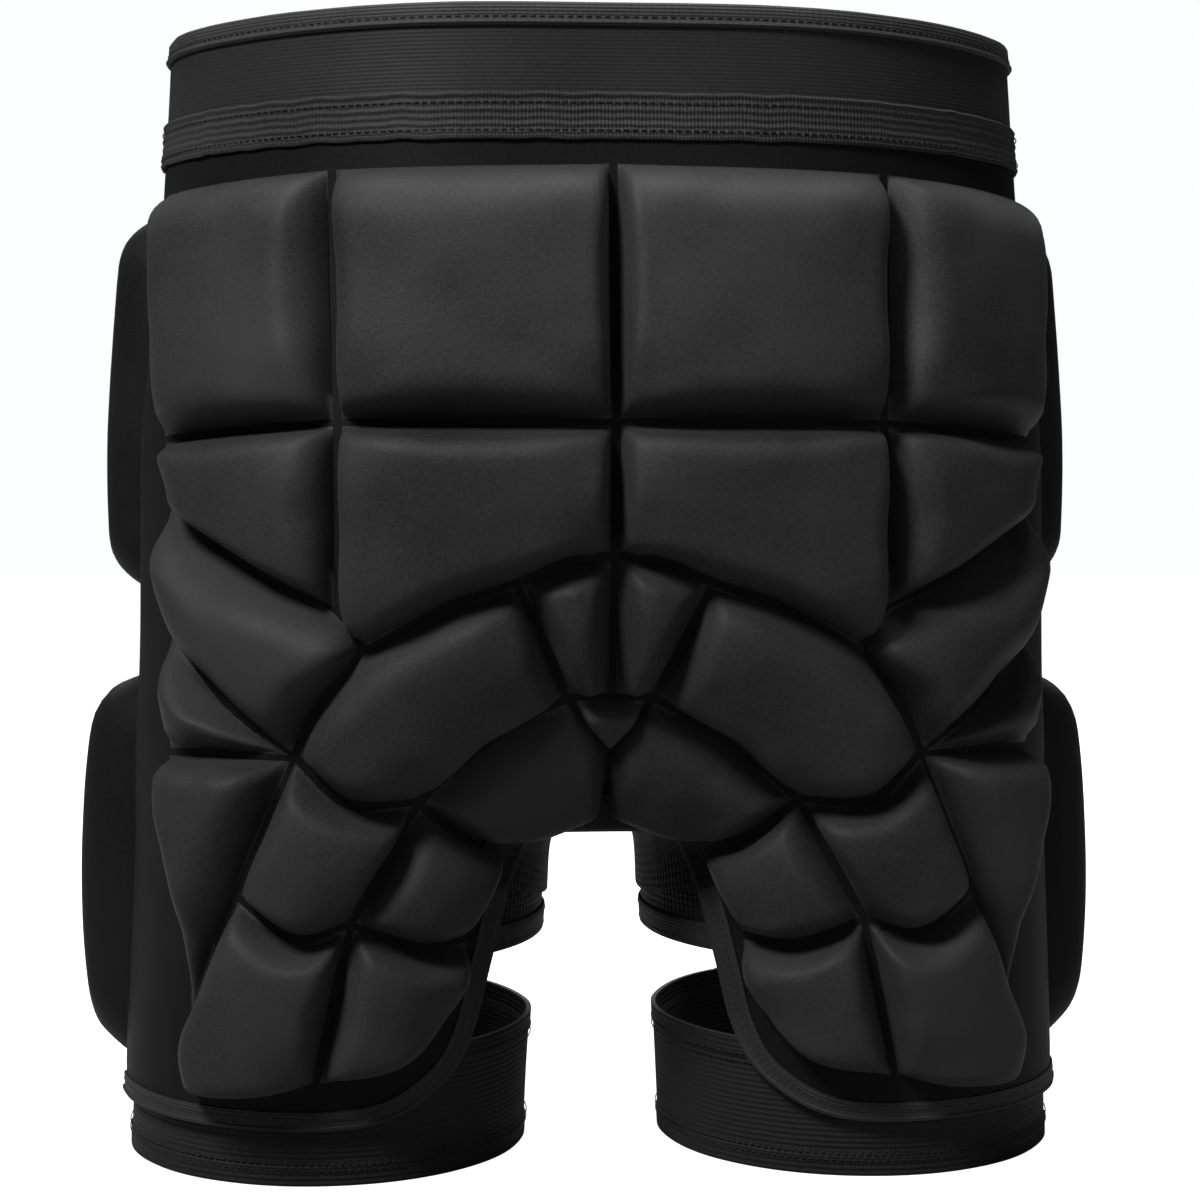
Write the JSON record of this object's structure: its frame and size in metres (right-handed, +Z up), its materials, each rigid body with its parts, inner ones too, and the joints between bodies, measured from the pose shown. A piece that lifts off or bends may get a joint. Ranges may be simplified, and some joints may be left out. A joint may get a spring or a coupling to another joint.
{
  "type": "padded impact shorts",
  "caption": "Black stretch shorts with a moulded seat pad of pillow blocks, foam side pads, a waistband and thigh straps.",
  "frame": {"origin": "on the floor under the middle of the garment, which stands on its two thigh straps as it is worn", "axes": "+X the wearer's right, +Y the wearer's front, +Z up, from the thigh straps to the waistband"},
  "size_m": [0.371, 0.2444, 0.39],
  "materials": {
    "seat_pad_cover": "fine matte stretch knit, heat-moulded over foam",
    "side_pad_cover": "fine matte stretch knit over foam",
    "panel_cloth": "matte stretch knit",
    "front_cloth": "open stretch mesh",
    "waistband_cloth": "brushed stretch cloth",
    "binding_tape": "narrow ribbed binding",
    "seam_tape": "ribbed tape with two rows of stitches",
    "strap_elastic": "ribbed woven elastic",
    "hook_pile": "stiff hook pile",
    "loop_pile": "soft loop pile"
  },
  "bodies": {
    "root": {"crotch_gusset": "front_cloth", "front_panel": "front_cloth", "hip_pad_left": "side_pad_cover", "hip_pad_right": "side_pad_cover", "inner_leg_left": "front_cloth", "inner_leg_right": "front_cloth", "leg_hem_left": "binding_tape", "leg_hem_right": "binding_tape", "panel_binding_left": "binding_tape", "panel_binding_right": "binding_tape", "seat_block_arch_inner_left": "seat_pad_cover", "seat_block_arch_inner_right": "seat_pad_cover", "seat_block_arch_outer_left": "seat_pad_cover", "seat_block_arch_outer_right": "seat_pad_cover", "seat_block_crotch_left": "seat_pad_cover", "seat_block_crotch_right": "seat_pad_cover", "seat_block_middle_inner_left": "seat_pad_cover", "seat_block_middle_inner_right": "seat_pad_cover", "seat_block_middle_outer_left": "seat_pad_cover", "seat_block_middle_outer_right": "seat_pad_cover", "seat_block_tail": "seat_pad_cover", "seat_block_thigh_lower_inner_left": "seat_pad_cover", "seat_block_thigh_lower_inner_right": "seat_pad_cover", "seat_block_thigh_lower_outer_left": "seat_pad_cover", "seat_block_thigh_lower_outer_right": "seat_pad_cover", "seat_block_thigh_middle_inner_left": "seat_pad_cover", "seat_block_thigh_middle_inner_right": "seat_pad_cover", "seat_block_thigh_middle_outer_left": "seat_pad_cover", "seat_block_thigh_middle_outer_right": "seat_pad_cover", "seat_block_thigh_side_left": "seat_pad_cover", "seat_block_thigh_side_right": "seat_pad_cover", "seat_block_upper_inner_left": "seat_pad_cover", "seat_block_upper_inner_right": "seat_pad_cover", "seat_block_upper_outer_left": "seat_pad_cover", "seat_block_upper_outer_right": "seat_pad_cover", "seat_block_wing_lower_left": "seat_pad_cover", "seat_block_wing_lower_right": "seat_pad_cover", "seat_block_wing_upper_left": "seat_pad_cover", "seat_block_wing_upper_right": "seat_pad_cover", "seat_panel": "panel_cloth", "side_panel_left": "panel_cloth", "side_panel_right": "panel_cloth", "strap_loop_tape_left": "loop_pile", "strap_loop_tape_right": "loop_pile", "thigh_pad_left": "side_pad_cover", "thigh_pad_right": "side_pad_cover", "thigh_strap_left": "strap_elastic", "thigh_strap_right": "strap_elastic", "waist_binding": "binding_tape", "waist_loop_tape": "loop_pile", "waist_seam_tape": "seam_tape", "waistband": "waistband_cloth"},
    "waist_tab": {"waist_tab": "waistband_cloth", "waist_tab_binding": "binding_tape", "waist_hook_patch": "hook_pile"},
    "strap_flap_left": {"strap_flap_left": "strap_elastic", "strap_hook_patch_left": "hook_pile"},
    "strap_flap_right": {"strap_flap_right": "strap_elastic", "strap_hook_patch_right": "hook_pile"}
  },
  "joints": [
    {"name": "waist_tab_peel", "type": "hinge", "parent": "root", "child": "waist_tab", "pos_m": [-0.06985, 0.12025, 0.375], "axis": [0, 0, 1], "range_deg": [0, 100]},
    {"name": "strap_flap_right_peel", "type": "hinge", "parent": "root", "child": "strap_flap_right", "pos_m": [0.06107, 0.07999, 0], "axis": [-0.0394, 0.0749, 0.9964], "range_deg": [0, 100]},
    {"name": "strap_flap_left_peel", "type": "hinge", "parent": "root", "child": "strap_flap_left", "pos_m": [-0.06107, 0.07999, 0], "axis": [-0.0394, -0.0749, -0.9964], "range_deg": [0, 100]}
  ]
}
